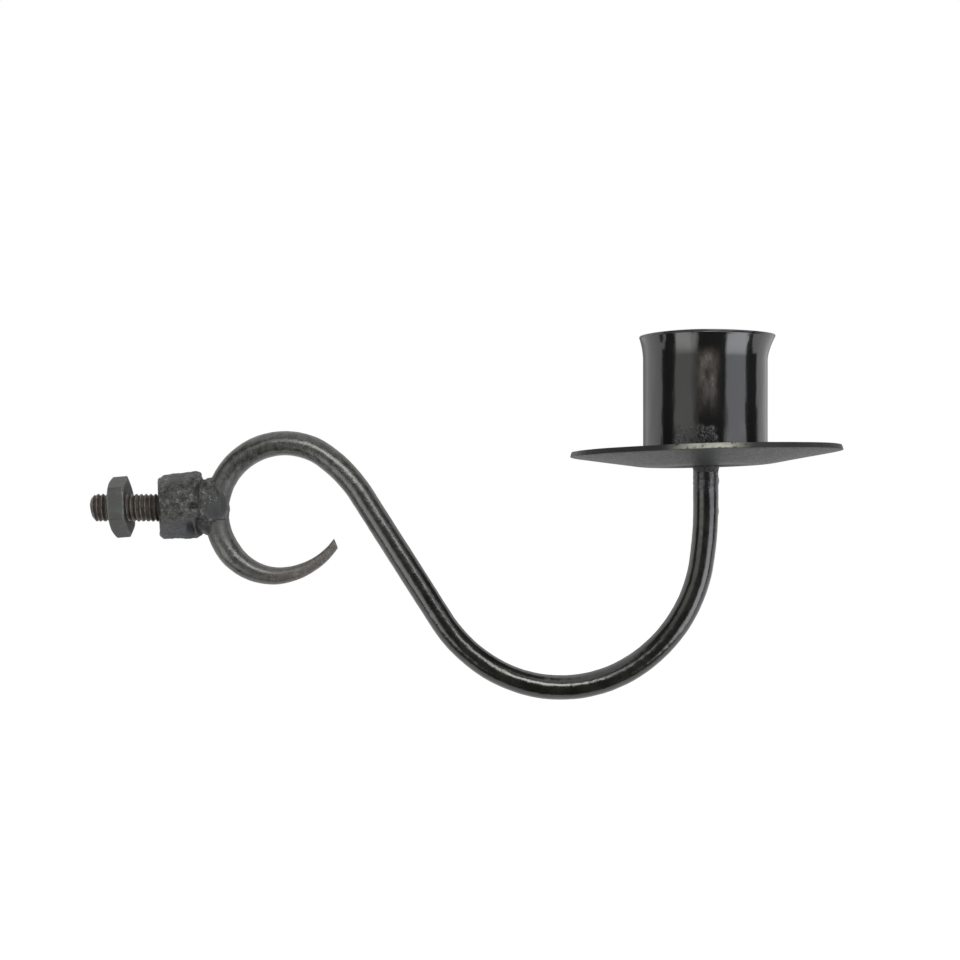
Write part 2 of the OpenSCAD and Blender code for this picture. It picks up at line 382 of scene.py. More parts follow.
def thread_paint(looks):
    """Rust brown in the thread's valleys, rubbed through to metal on the crests, darker next to the boss."""
    p = Paint("thread_rust")
    crest = p.mark("crest")
    cloud = p.grain(1.6, detail=4)
    rust = p.blend(p.span(cloud, 0.35, 0.7), looks.thread_brown, looks.thread_dark)
    rubbed = p.times(p.span(crest, 0.6, 0.95), p.span(p.grain(1.1), 0.3, 0.6))
    colour = p.blend(rubbed, rust, looks.thread_bright)
    # darker over the last few millimetres next to the boss's face
    near_boss = p.span(p.node("SeparateXYZ", {0: p.place}).outputs["X"], -4.5, 0)
    colour = p.blend(p.times(near_boss, 0.7), colour, looks.thread_dark)
    rough = p.span(crest, 0.3, 1, 0.55, 0.36)
    return p.done(colour, rough, p.relief(p.grain(0.35, detail=3), 0.03), Metallic=0.25)


def nut_paint(looks):
    """Satin grey paint, greenish where it has bloomed, rubbed on the edges, and rust with painted shade on
    the boss's side.
    """
    p = Paint("nut_grey_paint")
    fine = p.grain(0.4, detail=3)
    edge, rusty = p.mark("edge"), p.mark("rusty")
    colour = p.blend(p.span(p.grain(3.2, detail=3), 0.5, 0.72), looks.nut_grey, looks.nut_green)
    rubbed = p.times(edge, p.span(p.grain(0.8), 0.35, 0.7))
    colour = p.blend(rubbed, colour, looks.nut_edge)
    # painted shade with rust: the face towards the boss is nearly black, with rust-brown grain
    rust = p.blend(p.span(p.grain(1.4, detail=4), 0.52, 0.8), looks.nut_rust, looks.thread_brown)
    colour = p.blend(p.times(rusty, p.span(p.grain(3.0), 0.2, 0.36)), colour, rust)
    rough = p.plus(p.span(fine, 0.3, 0.7, 0.42, 0.56), p.times(rusty, 0.15))
    wavy = p.relief(p.grain(2.4, detail=1), 0.05)
    return p.done(colour, rough, p.relief(fine, 0.02, wavy))


def pan_paint(looks):
    """Satin dark grey paint on sheet, a little mottled, with a painted highlight of bright metal on the
    blunt rim.
    """
    p = Paint("pan_grey_paint")
    fine = p.grain(0.8, detail=4, rough=0.65)
    rim, bare, sooty = p.mark("rim"), p.mark("bare"), p.mark("sooty")
    bare = p.times(bare, p.span(p.grain(1.3, detail=3), 0.28, 0.46))
    colour = p.blend(p.span(p.grain(7, detail=4), 0.35, 0.7), looks.pan_grey, looks.pan_light)
    colour = p.blend(p.times(rim, 0.7), colour, looks.pan_edge)
    # painted highlight: bright metal colour and metallic on the rim's front and sides
    colour = p.blend(bare, colour, looks.pan_rim)
    rough = p.plus(p.span(fine, 0.3, 0.75, 0.42, 0.58), p.times(rim, 0.08), p.times(sooty, 0.25))
    sag = p.relief(p.grain(5, detail=1), 0.12)
    dents = p.relief(p.grain(1.9, detail=3), 0.07, sag)
    return p.done(colour, rough, p.relief(fine, 0.03, dents), Metallic=p.times(bare, 0.7), IOR=1.31)


def cup_paint(looks):
    """Gloss black paint, with a dull brown worn patch at the front and weld grit at the foot."""
    p = Paint("cup_black_paint")
    fine = p.grain(0.5, detail=4, rough=0.6)
    patch, grit = p.mark("worn"), p.mark("grit")
    cloud = p.grain(2.2, detail=5, stretch=(1, 1, 0.4))
    blotch = p.times(patch, p.span(cloud, 0.3, 0.65, 0.3, 1))
    gritty = p.times(grit, p.span(p.grain(0.55, detail=5, rough=0.8), 0.48, 0.6))
    gritty = p.times(gritty, p.span(p.grain(2.2, detail=2), 0.42, 0.58, 0.25, 1))
    colour = p.blend(blotch, looks.cup_black, looks.cup_brown)
    colour = p.blend(p.times(gritty, 0.85), colour, looks.cup_grit)
    rough = p.plus(p.span(fine, 0.3, 0.8, 0.1, 0.16), p.times(blotch, 0.16), p.times(gritty, 0.25))
    wave = p.relief(p.grain(6, detail=1, stretch=(1, 1, 0.45)), 0.2)
    wave = p.relief(p.grain(2.6, detail=1, stretch=(1, 1, 0.3)), 0.035, wave)
    peel = p.relief(p.grain(1.2, detail=2), 0.012, wave)
    return p.done(colour, rough, p.relief(gritty, 0.25, peel), IOR=1.7)


def inked(name, description, value):
    """A colour property."""
    return FloatVectorProperty(name=name, description=description, default=value, subtype="COLOR",
                               min=0.0, max=1.0)


def length(name, description, value):
    """A length property, given in millimetres and kept in metres."""
    return FloatProperty(name=name, description=description, default=value * MM, unit="LENGTH",
                         subtype="DISTANCE", precision=5)


def tilt(name, description, value):
    """An angle property, given in degrees."""
    return FloatProperty(name=name, description=description, default=math.radians(value),
                         subtype="ANGLE")


def number(name, description, value):
    """A plain number property."""
    return FloatProperty(name=name, description=description, default=value)


def measures(context, group):
    """The values of a group of properties, with its lengths in millimetres."""
    values = getattr(context.scene, "sconce_" + group)
    kinds = values.bl_rna.properties
    return SimpleNamespace(**{name: getattr(values, name) / (MM if kinds[name].unit == "LENGTH" else 1)
                              for name in type(values).__annotations__})


class SconceFinishes(bpy.types.PropertyGroup):
    """Colours of the sconce's paints."""
    bar_black: inked("Bar black", "Black of the bar's paint", (0.006, 0.006, 0.0054))
    bar_olive: inked("Bar olive", "Lighter olive clouds in the bar's paint", (0.016, 0.016, 0.0132))
    bar_burnt: inked("Bar burnt", "Scorched paint below the pan", (0.016, 0.014, 0.017))
    ring_grey: inked("Ring grey", "Greyer paint round the ring", (0.018, 0.018, 0.0162))
    ring_light: inked("Ring light", "Light clouds in the ring's paint", (0.069, 0.069, 0.063))
    bar_tail: inked("Tail brown", "Brown grey of the drawn tail", (0.06, 0.0535, 0.0495))
    bar_tail_light: inked("Tail light", "Light grain of the drawn tail", (0.112, 0.101, 0.094))
    weld_grey: inked("Weld grey", "Dark grey of the welds and the boss", (0.034, 0.034, 0.0312))
    weld_light: inked("Weld light", "Light clouds on the welds and the boss", (0.07, 0.07, 0.064))
    weld_pale: inked("Weld pale", "Pale spots on the welds and the boss", (0.15, 0.15, 0.136))
    # the darkest weld colour: dark clouds, and the painted shade in hollows and crevices
    weld_dark: inked("Weld dark", "Soot in the hollows", (0.009, 0.009, 0.0085))
    weld_blue: inked("Weld blue", "Bluish scale on the boss's underside", (0.056, 0.0573, 0.064))
    blob_grey: inked("Blob grey", "Even grey of the smooth weld in front", (0.023, 0.0233, 0.0237))
    # also the colour of the painted glints
    bright_speck: inked("Bright speck", "Bare metal specks on the welds", (0.42, 0.42, 0.42))
    thread_brown: inked("Thread brown", "Rust in the thread", (0.083, 0.066, 0.054))
    # used for dark clouds in the thread and for the darkening next to the boss
    thread_dark: inked("Thread dark", "Soot in the thread", (0.031, 0.027, 0.024))
    thread_bright: inked("Thread crest", "Rubbed crests of the thread", (0.135, 0.115, 0.098))
    nut_grey: inked("Nut grey", "Grey of the nut's paint", (0.048, 0.049, 0.047))
    nut_green: inked("Nut green", "Greenish bloom on the nut", (0.058, 0.067, 0.058))
    # nearly black: painted shade on the face towards the boss, as well as rust
    nut_rust: inked("Nut rust", "Rust on the side that faces the boss", (0.008, 0.007, 0.006))
    nut_edge: inked("Nut edge", "Rubbed edges of the nut", (0.2, 0.2, 0.195))
    pan_grey: inked("Pan grey", "Dark grey of the pan's paint", (0.0095, 0.0105, 0.0105))
    pan_light: inked("Pan light", "Light clouds on the pan", (0.023, 0.0245, 0.0235))
    pan_edge: inked("Pan edge", "Black paint on the rim", (0.02, 0.02, 0.019))
    # painted highlight on the rim's front and sides
    pan_rim: inked("Pan rim", "Bare metal in front, where the rim is worn", (0.3, 0.3, 0.262))
    cup_black: inked("Cup black", "Gloss black of the cup", (0.008, 0.008, 0.008))
    cup_brown: inked("Cup brown", "Worn patch at the front of the cup", (0.068, 0.058, 0.052))
    cup_grit: inked("Cup grit", "Weld grit at the foot of the cup", (0.15, 0.15, 0.17))


class SconceStud(bpy.types.PropertyGroup):
    """Sizes of the threaded stud."""
    across: length("Diameter", "Diameter over the thread's crests", 8.25)
    out: length("Length", "How far the stud stands out of the boss", 19.7)
    inside: length("Inside", "How far the stud goes into the boss", 6.0)
    pitch: length("Pitch", "Distance from one crest to the next", 1.411)
    depth: length("Depth", "Depth of the thread", 0.56)
    first_crest: length("First crest", "Where a crest passes over the top of the stud", -0.97)
    bevel: length("Bevel", "Bevel at the free end", 1.1)
    slant: length("Slant", "How much of the free end's lower edge is cut away", 0.55)
    high: length("Height", "How far the stud's axis is above the frame's origin", 0.13)


class SconceNut(bpy.types.PropertyGroup):
    """Sizes of the clamp nut."""
    flats: length("Flats", "Width across the flats", 15.9)
    thick: length("Thickness", "Thickness of the nut", 5.0)
    at: length("Place", "Distance from the wall face to the middle of the nut", 11.4)
    face: length("Face ring", "Diameter of the flat ring on each face", 15.2)
    bevel: tilt("Bevel", "Steepness of the bevels", 20)
    turn: tilt("Turn", "How far the top corner is turned to the back", 8.6)
    lean: tilt("Lean", "How far the faces are out of square with the stud", 4.4)
    gap: length("Thread gap", "Gap between the two threads", 0.07)
    dent: length("Dents", "Depth of the dents in the flats", 0.05)


class SconceBoss(bpy.types.PropertyGroup):
    """Sizes of the mounting boss."""
    flats: length("Flats", "Width across the flats", 16.85)
    long: length("Length", "Length from the wall face to the ring", 13.3)
    bevel: length("Bevel", "Bevel on the corners at the wall face", 1.4)
    melted: length("Melted end", "Radius of the end that the weld has melted", 2.3)
    turn: tilt("Turn", "How far the top corner is turned to the back", 9.5)
    lean: tilt("Lean", "How far the boss rises towards the ring", 5.1)
    swell: length("Swelling", "How much the boss grows towards the ring", 0.12)
    worn_face: length("Worn face", "How far the front of the wall face is worn back", 1.75)
    lumpy: length("Lumps", "Height of the lumps on the flats", 0.3)
    pitted: length("Pits", "Depth of the pits", 0.34)


class SconceArm(bpy.types.PropertyGroup):
    """Sizes of the bent bar."""
    thick_top: length("Bar at the pan", "Diameter of the bar below the pan", 7.4)
    thick: length("Bar", "Diameter of the bar elsewhere", 7.22)
    tip_wide: length("Tip width", "Width of the snipped tip, in the plane of the scroll", 2.6)
    tip_thick: length("Tip thickness", "Thickness of the snipped tip, front to back", 3.6)
    hammer: length("Hammer marks", "Depth of the flats that the hammer left", 0.09)
    grit: length("Roughness", "Height of the fine lumps under the paint", 0.035)


class SconceWelds(bpy.types.PropertyGroup):
    """Sizes of the welds."""
    split: length("Split", "Height of the line where the two welds meet", -3.7)
    lumpy: length("Lumps", "Height of the lumps on the welds", 0.32)
    fillet_wide: length("Fillet width", "Width of the fillet between bar and pan", 0.8)
    fillet_high: length("Fillet height", "Height of the fillet between bar and pan", 1.8)
    tack: length("Tack", "Radius of the tack weld at the cup's foot", 1.6)
    tack_from: tilt("Tack start", "Where the tack weld begins, round from +X", 236)
    tack_span: tilt("Tack span", "How far the tack weld goes round the cup", 54)


class SconcePan(bpy.types.PropertyGroup):
    """Sizes of the drip pan."""
    radius: length("Radius", "Radius of the pan", 40.0)
    floor: length("Floor radius", "Radius of the flat floor", 18.0)
    rise: length("Rise", "How far the rim stands above the floor", 3.5)
    sheet: length("Sheet", "Thickness of the sheet", 1.6)
    under: length("Height", "Height of the floor's underside", 12.4)
    lean: tilt("Lean", "How far the outer side is raised", 1.4)
    pitch: tilt("Pitch", "How far the front is raised", 1.5)
    wavy: length("Waviness", "How uneven the sheet is", 0.12)


class SconceCup(bpy.types.PropertyGroup):
    """Sizes of the candle cup."""
    across: length("Diameter", "Outside diameter of the tube", 36.4)
    wall: length("Wall", "Thickness of the wall", 1.3)
    lip: length("Lip", "Height of the lip", 51.2)
    floor: length("Floor", "Height of the inside floor", 15.1)
    flare: length("Flare height", "Height of the flared mouth", 7.7)
    flare_wall_side: length("Flare, wall side", "How far the mouth flares towards the wall", 1.3)
    flare_far_side: length("Flare, far side", "How far the mouth flares away from the wall", 2.5)
    shift: length("Shift", "How far the cup stands off the bar's middle, towards the wall", 0.2)
    dent: length("Waviness", "How uneven the tube is", 0.06)


class SconceStage(bpy.types.PropertyGroup):
    """Camera, floor and lamps."""
    camera_at: FloatVectorProperty(name="Camera", description="Where the camera stands",
                                   default=(0.0947, -0.487, 0.0083), subtype="XYZ", unit="LENGTH")
    lens: number("Lens", "Focal length in millimetres", 61.9)
    floor_z: length("Floor", "Height of the floor", -300)
    side_lamp: number("Wall side lamp", "Brightness of the lamp on the wall side", 0.82)
    window_lamp: number("Window lamp", "Brightness of the bluish far-side lamp", 1.5)
    top_lamp: number("Top lamp", "Brightness of the lamp above the camera", 6.0)
    room: number("Room", "Brightness of the soft light from all round", 0.2)


# ---------------------------------------------------------------- the bent bar

# The bar's run from the pan to its tip, each step (radius, turn in degrees, share drawn out at its end).
# Turns to the left are positive, and a straight is (length, 0, share).
BAR_TOP = (161.3, 12.4)
BAR_STEPS = (
    (11.9, 0, 0),
    (110, -8.5, 0),
    (44.5, -48, 0),
    (40, -64, 0),
    (45, -27, 0),
    (43.5, 0, 0),
    (42, 21.5, 0),
    (20.2, 163, 0),
    (17, 64.5, 0.56),
    (23, 44, 1),
)
# Distances run down the bar: its thick top, the top's fit to the pan, and from where to where it grows
# more burnt (going up), more bent and hammered, and duller
THICK_END, FIT_END = 45, 3
BURNT, BENT, DULL = (9.5, 6), (40, 75), (145, 195)
# Share drawn out at which the snip of the tip begins
SNIP_FROM = 0.93
# Lumps on the bar's far side below the pan, each (distance run, height of the lump, how far it reaches)
BAR_DRIPS = ((4.4, 0.42, 1.0), (13.3, 0.36, 0.9), (9.2, 0.12, 1.6))


def bar_stations(gap):
    """Stations of the bar's middle line: x, z, heading, distance run and share drawn out."""
    x, z = BAR_TOP
    heading = math.radians(-90)
    run, share = 0.0, 0.0
    rows = [(x, z, heading, run, share)]
    for radius, turn, share_end in BAR_STEPS:
        turn = math.radians(turn)
        whole = radius if turn == 0 else radius * abs(turn)
        cuts = max(1, math.ceil(whole / gap))
        x0, z0, h0, s0 = x, z, heading, share
        for k in range(1, cuts + 1):
            part = k / cuts
            if turn == 0:
                x = x0 + part * whole * math.cos(h0)
                z = z0 + part * whole * math.sin(h0)
            else:
                heading = h0 + part * turn
                side = math.copysign(radius, turn)
                x = x0 + side * (math.sin(heading) - math.sin(h0))
                z = z0 + side * (math.cos(h0) - math.cos(heading))
            share = s0 + part * (share_end - s0)
            rows.append((x, z, heading, run + part * whole, share))
        run += whole
    return np.array(rows)


class SCONCE_OT_arm(bpy.types.Operator):
    """Sweeps the forged bar along its bends and draws its tail out to a snipped tip"""
    bl_idname = "sconce.arm"
    bl_label = "Scroll Arm"

    def execute(self, context):
        s, pan = measures(context, "arm"), measures(context, "pan")
        x, z, heading, run, drawn = bar_stations(0.45).T[..., None]
        cosine, sine = lathe_axes(56)
        thick = s.thick + (s.thick_top - s.thick) * held(1 - run / THICK_END)
        wide = (thick + (s.tip_wide - thick) * drawn) / 2
        deep = (thick + (s.tip_thick - thick) * drawn) / 2
        square = 2 / (2 + 1.2 * drawn)
        side = wide * np.sign(cosine) * np.abs(cosine) ** square
        back = -deep * np.sign(sine) * np.abs(sine) ** square
        # the tip is snipped off at a slant, and the top is filed to fit the leaning pan
        ahead = held((drawn - SNIP_FROM) / (1 - SNIP_FROM)) ** 2 * (0.65 * side - 0.45)
        ahead -= held(1 - run / FIT_END) * (math.tan(pan.lean) * side - math.tan(pan.pitch) * back)
        rings = xyz(x - side * np.sin(heading) + ahead * np.cos(heading), back,
                    z + side * np.cos(heading) + ahead * np.sin(heading))
        out = normals_of(rings, rings.mean(axis=1, keepdims=True))
        burnt = ramp(run, *BURNT)
        near_weld = np.hypot(rings[..., 0] - WELD_AT[0], rings[..., 2] - WELD_AT[1])
        scorched = held(1.4 - near_weld / 10)
        worked = s.hammer * (0.6 + 0.9 * drawn + 0.6 * scorched)
        push = worked * (lumps(rings, 5.5, 3) - 0.25) + s.grit * lumps(rings, 1.5, 5)
        push += (scorched * 0.12 + burnt * 0.1) * lumps(rings, 1.0, 8)
        for at, height, reach in BAR_DRIPS:
            push += height * hump((run - at) / reach, (sine + 0.25) / 0.45) * (cosine > 0)
        # the top stays smooth where it meets the pan
        rings = rings + out * (push * held(run / 1.5))[..., None]
        rings[..., 2] = np.maximum(rings[..., 2], CAD_BOX[0].z / MM + 0.01)
        marks = {
            "drawn": drawn,
            "scorched": scorched,
            "burnt": burnt,
            "bent": ramp(run, *BENT),
            "dull": ramp(run, *DULL),
            "along": run,
            "side": wide * cosine,
            "back": deep * sine,
        }
        piece = skin("scroll_arm_bar", rings, marks=marks)
        seat(piece, "sconce", "scroll_arm", bar_paint(context.scene.sconce_finishes))
        return {"FINISHED"}


# ---------------------------------------------------------------- stud and nut

def thread_height(x, turn, stud):
    """0 at the thread's root and 1 at its crest. turn is the angle from +Y towards +Z."""
    phase = (x - stud.first_crest) / stud.pitch - (turn - math.pi / 2) / (2 * math.pi)
    # away is 0 on the crest's middle and 1 in the root's: both are narrow flats with flanks between them
    away = np.abs(phase - np.round(phase)) * 2
    return held((0.93 - away) / 0.8) ** 0.9


def thread_radius(x, turn, stud):
    """Radius of the stud's thread."""
    return stud.across / 2 - stud.depth * (1 - thread_height(x, turn, stud))


class SCONCE_OT_stud(bpy.types.Operator):
    """Cuts the stud's right-hand thread from its bevelled end into the boss"""
    bl_idname = "sconce.stud"
    bl_label = "Threaded Stud"

    def execute(self, context):
        s = measures(context, "stud")
        turn = turns(96)
        x = np.linspace(-s.out, s.inside, int((s.out + s.inside) / 0.09))[:, None]
        bevel = s.across / 2 - s.bevel + (x + s.out)
        radius = np.minimum(thread_radius(x, turn, s), bevel)
        radius = radius + 0.03 * lumps(xyz(x, radius * np.cos(turn), radius * np.sin(turn)), 1.1, 11) - 0.03
        # the free end is a little slanted
        low = held(0.3 - np.sin(turn)) * radius / radius.max()
        slanted = x + s.slant * low * held(1 - (x + s.out) / 2.5)
        rings = xyz(slanted, radius * np.cos(turn), radius * np.sin(turn) + s.high)
        piece = skin("threaded_stud_cut", rings, marks={"crest": thread_height(x, turn, s)})
        seat(piece, "sconce", "threaded_stud", thread_paint(context.scene.sconce_finishes))
        return {"FINISHED"}


def hexagon_reach(turn, flats, corner_at, soft):
    """Distance from the axis to a hexagon's side in each direction, with its corners a little blunt."""
    off = (turn - corner_at + math.pi / 6) % (math.pi / 3) - math.pi / 6
    reach = flats / 2 / np.cos(math.pi / 6 - np.abs(off))
    corner = flats / 2 / math.cos(math.pi / 6) - soft
    over = np.maximum(reach - corner, 0)
    return np.minimum(reach, corner + over * 0.35)


def leaned(points, lean):
    """The points turned about Y, so that +X rises."""
    c, s = math.cos(lean), math.sin(lean)
    x, y, z = axes(points)
    return xyz(x * c - z * s, y, x * s + z * c)


class SCONCE_OT_nut(bpy.types.Operator):
    """Makes the hexagon nut with its bevels, its leaning faces and its inside thread"""
    bl_idname = "sconce.nut"
    bl_label = "Clamp Nut"

    def execute(self, context):
        s, stud = measures(context, "nut"), measures(context, "stud")
        corner_at = math.pi / 2 - s.turn
        turn = turns(168) + corner_at
        reach = hexagon_reach(turn, s.flats, corner_at, 0.08)
        half, ring = s.thick / 2, s.face / 2
        bore = stud.across / 2 + s.gap
        off_axis = 0.2

        def point(x, radius):
            """A ring, which leans with the nut. The outside is a little off the bore's axis."""
            shift = off_axis * held((radius - bore) / 2)
            return leaned(xyz(x + shift, radius * np.cos(turn), radius * np.sin(turn) + shift), s.lean)

        drop = np.maximum(reach - ring, 0.05) * math.tan(s.bevel)
        # the bevel is small on the boss's side, and at the bottom it is large on the wall's side alone
        low = held(-np.sin(turn) - 0.6) / 0.4
        cut, kept = drop * (1 + 0.9 * low), drop * (0.4 - 0.4 * low)
        flats = np.maximum(reach, ring)
        corners = [
            point(-half, bore + 0.25), point(-half, 0.5 * (bore + ring)), point(-half, ring - 0.05),
            point(-half + cut, flats), point(half - kept, flats),
            point(half, ring - 0.05), point(half, 0.5 * (bore + ring)), point(half, bore + 0.25),
        ]
        outside = np.array(filled(rounded(corners, 0.2), 0.35))
        edge = self.rubbed(outside, ring)
        far = np.hypot(outside[..., 1], outside[..., 2])
        dents = s.dent * (lumps(outside, 4.0, 17) - 0.3) * held((far - bore - 1) / 2)
        outside = outside + unit(outside) * dents[..., None]
        # the thread inside runs on from the stud's
        square_x = np.linspace(half - 0.35, 0.35 - half, 44)[:, None]
        inside_x = square_x - math.tan(s.lean) * bore * np.sin(turn)
        radius = thread_radius(inside_x - s.at, turn, stud) + s.gap
        inside = xyz(inside_x, radius * np.cos(turn), radius * np.sin(turn))
        rings = np.concatenate([outside, inside])
        square = rings[..., 0] * math.cos(s.lean) + rings[..., 2] * math.sin(s.lean)
        low_edge = ramp(np.hypot(rings[..., 1], rings[..., 2]), ring + 0.4, ring - 0.6)
        marks = {
            "edge": np.concatenate([edge, np.zeros(inside.shape[:2])]),
            # painted shade with rust on the face towards the boss
            "rusty": ramp(square, half - 0.3, half - 0.05) * low_edge,
        }
        rings += (-s.at, 0, stud.high)
        piece = skin("clamp_nut_hex", rings, closed_along=True, marks=marks)
        seat(piece, "nut", "clamp_nut", nut_paint(context.scene.sconce_finishes))
        return {"FINISHED"}

    @staticmethod
    def rubbed(points, ring):
        """1 on the edges between flats and bevels, where paint rubs off first."""
        radius = np.hypot(points[..., 1], points[..., 2])
        bent = np.zeros(points.shape[:2])
        along = np.diff(points, axis=0)
        angle = np.sum(unit(along[1:]) * unit(along[:-1]), axis=-1)
        bent[1:-1] = held((1 - angle) * 30)
        return bent * held(radius - ring + 1.5)


# ---------------------------------------------------------------- boss and welds

# Hollows in the front of the boss, each (x, z, width, height, depth)
BOSS_DIPS = (
    (10.7, 8.4, 0.9, 1.7, 1.3), (10.2, -5.8, 1.1, 1.8, 1.7), (12.6, -5.4, 0.7, 2.2, 1.2),
    (11.6, 0.9, 1.7, 0.7, 1.1), (8.3, 3.2, 0.7, 0.8, 0.5), (5.0, 1.2, 1.4, 0.6, 0.4),
    (2.2, -1.5, 0.9, 1.1, 0.35), (12.4, 5.0, 0.6, 1.6, 0.9), (7.2, -1.6, 1.5, 0.5, 0.45),
)
# Round pads that the hammer left in the front of the boss, each (x, z, radius, height)
BOSS_PADS = ((5.9, 7.5, 1.9, 0.28), (3.0, 4.4, 0.8, 0.3), (8.9, 6.9, 0.9, 0.2), (1.5, 6.2, 0.6, 0.25))
# The middle of the weld at the front
WELD_AT = (15.5, 0.2)
# The weld's sections along the stud's line, each (x, reach up, reach down, reach to the front)
UPPER_WELD = (
    (11.6, 7.4, 7.3, 6.6), (12.9, 8.0, 7.6, 7.5), (14.3, 8.5, 7.8, 7.0), (15.5, 8.9, 7.9, 6.1),
    (16.7, 8.8, 7.3, 5.4), (17.9, 8.2, 6.5, 4.9), (19.0, 7.3, 5.6, 4.3), (19.9, 6.0, 4.6, 3.4),
    (20.3, 4.8, 3.8, 2.6), (20.6, 2.4, 2.0, 1.3),
)
LOWER_WELD = (
    (11.6, 7.2, 7.1, 6.4), (12.9, 7.6, 7.6, 7.1), (14.0, 7.6, 8.0, 6.3), (15.1, 7.4, 8.2, 5.1),
    (16.2, 6.8, 7.5, 3.9), (17.2, 5.4, 6.0, 2.4), (17.9, 3.0, 3.4, 0.9),
)
# Hollows in the front of the welds, as for the boss
WELD_DIPS = (
    (14.0, 7.1, 0.7, 0.9, 0.9), (16.9, 7.2, 0.6, 0.5, 0.7), (18.2, 5.2, 0.4, 0.8, 0.4),
    (13.7, 1.6, 0.6, 1.8, 0.5), (14.2, -3.4, 0.9, 1.0, 0.6), (16.4, 5.0, 1.3, 0.35, 0.3),
)


class SCONCE_OT_boss(bpy.types.Operator):
    """Makes the pitted hexagon boss, square at the wall face and melted round at the ring"""
    bl_idname = "sconce.boss"
    bl_label = "Mounting Boss"

    def execute(self, context):
        s, stud = measures(context, "boss"), measures(context, "stud")
        corner_at = math.pi / 2 - s.turn
        turn = turns(216) + corner_at
        reach = hexagon_reach(turn, s.flats, corner_at, 0.2)
        # the corner above the front facet is hammered nearly flat
        reach = reach - 0.45 * hump((turn - corner_at - math.pi / 3) / 0.16)
        long, melted = s.long, s.melted
        # the hole is tighter than the stud and ends before it does, so that no gap shows
        hole, deep = stud.across / 2 - 0.15, stud.inside - 1.5
        lean = math.tan(s.lean)
        above_stud = 0.36
        corner = s.flats / 2 / math.cos(math.pi / 6)
        start = np.maximum(s.bevel - (corner - reach), 0.2)

        def point(x, radius, rise=1.0):
            """A ring. rise is its share of the boss's lean and height, and the stud's hole has none."""
            y, z = radius * np.cos(turn), radius * np.sin(turn)
            return xyz(x - rise * lean * z * 0.5, y, z + rise * (lean * x + above_stud))

        corners = [
            point(deep, hole, 0), point(0, hole, 0), point(0, reach - start, 0.3), point(start, reach, 0.6),
            point(long - melted, reach + s.swell),
            point(long - 0.3 * melted, reach - 0.35 * melted + s.swell),
            point(long, reach - melted), point(long, 0.4), point(long, 0.05),
        ]
        path = filled(rounded(corners, 0.45), 0.36)
        rings = np.array([point(deep, 0.05, 0), *path])
        out = normals_of(rings, (long / 2, 0, 0))
        x, y, z = axes(rings)
        rough = 0.3 + 0.7 * held(x / long)
        dip = dips(rings, BOSS_DIPS)
        push = s.lumpy * rough * (lumps(rings, 3.4, 21) + 0.6 * lumps(rings, 1.6, 22))
        push += 0.08 * lumps(rings, 0.8, 24) - s.pitted * rough * pits(rings, 2.1, 23) - dip
        # painted shade in a ring round each hammered pad, where no groove is cut
        pad_shade_ring = np.zeros(x.shape)
        for at_x, at_z, size, height in BOSS_PADS:
            off = np.hypot(x - at_x, z - at_z)
            push += height * ramp(off, size + 0.25, size - 0.1) * (y < 0)
            pad_shade_ring += hump((off - size - 0.25) / 0.3) * (y < 0)
        push *= held((np.hypot(y, z) - hole - 0.6) / 2)
        rings = rings + out * push[..., None]
        # the underside has sagged towards the ring, and the wall face is worn back in front and below
        rings[..., 2] -= 0.75 * ramp(x, 3, long) * ramp(-z, 3, 6)
        worn = s.worn_face * held((-y - 1.7) / 7) + 0.4 * ramp(-z, 1, 5)
        rings[..., 0] = np.maximum(rings[..., 0] + worn * held(1 - x / 6), 0.0)
        # painted shade, with smoke-black: darker in the hollows, at the melted end by the weld, round the
        # pads and in a band across the front
        soot = held(dip / 1.1) * 0.9 + 0.5 * ramp(x, long - 1.4, long - 0.2) + 0.5 * pad_shade_ring
        soot += 0.2 * hump((z - 0.5) / 3.4) * (y < 0)
        marks = {
            "soot": held(soot),
            "under": ramp(-z + lean * x, 3.4, 4.4),
            "smooth": 0.7 * ramp(np.hypot(x - 5.9, z - 7.5), 2.1, 1.6) * (y < 0),
            # painted highlight: a patch of glint specks on the boss's front
            "glints": 0.6 * hump((x - 8.2) / 1.5, (z - 3.4) / 1.6) * (y < 0),
        }
        piece = skin("mounting_boss_forged", rings, marks=marks)
        seat(piece, "sconce", "mounting_boss", weld_paint(context.scene.sconce_finishes))
        return {"FINISHED"}


def weld_rings(table, split, up, lumpy, seed):
    """Rings of one half of the weld round boss and ring: above the split line if up is 1, below it if -1."""
    table = np.array(table)
    x = np.linspace(table[0, 0], table[-1, 0], 72)[:, None]
    top, bottom, front = [np.interp(x, table[:, 0], column) for column in table.T[1:]]
    cosine, sine = lathe_axes(108)
    y = front * np.sign(cosine) * np.abs(cosine) ** 0.9
    z = WELD_AT[1] + np.where(sine > 0, top, bottom) * sine
    rings = xyz(x, y, z)
    out = unit(xyz(0.4 * (x - WELD_AT[0] + 1), y, z))
    # the front is smooth in the middle and rugged above and below, and the back is even
    rugged = 0.3 + 1.5 * ramp(z, 4.0, 6.5) + 0.5 * ramp(-z, 4.5, 6.5)
    push = lumpy * (0.8 * lumps(rings, 2.4, seed) + 0.7 * lumps(rings, 1.0, seed + 1))
    push = push * np.where(y > 0, 1.0, rugged) - dips(rings, WELD_DIPS)
    rings = rings + out * push[..., None]
    # both halves meet along one uneven line
    split = split + 0.7 * lumps(rings * (1, 1, 0), 2.6, 45)
    over = up * (rings[..., 2] - split)
    rings[..., 2] = split + up * 0.5 * (over + np.sqrt(over ** 2 + 0.25))
    return rings


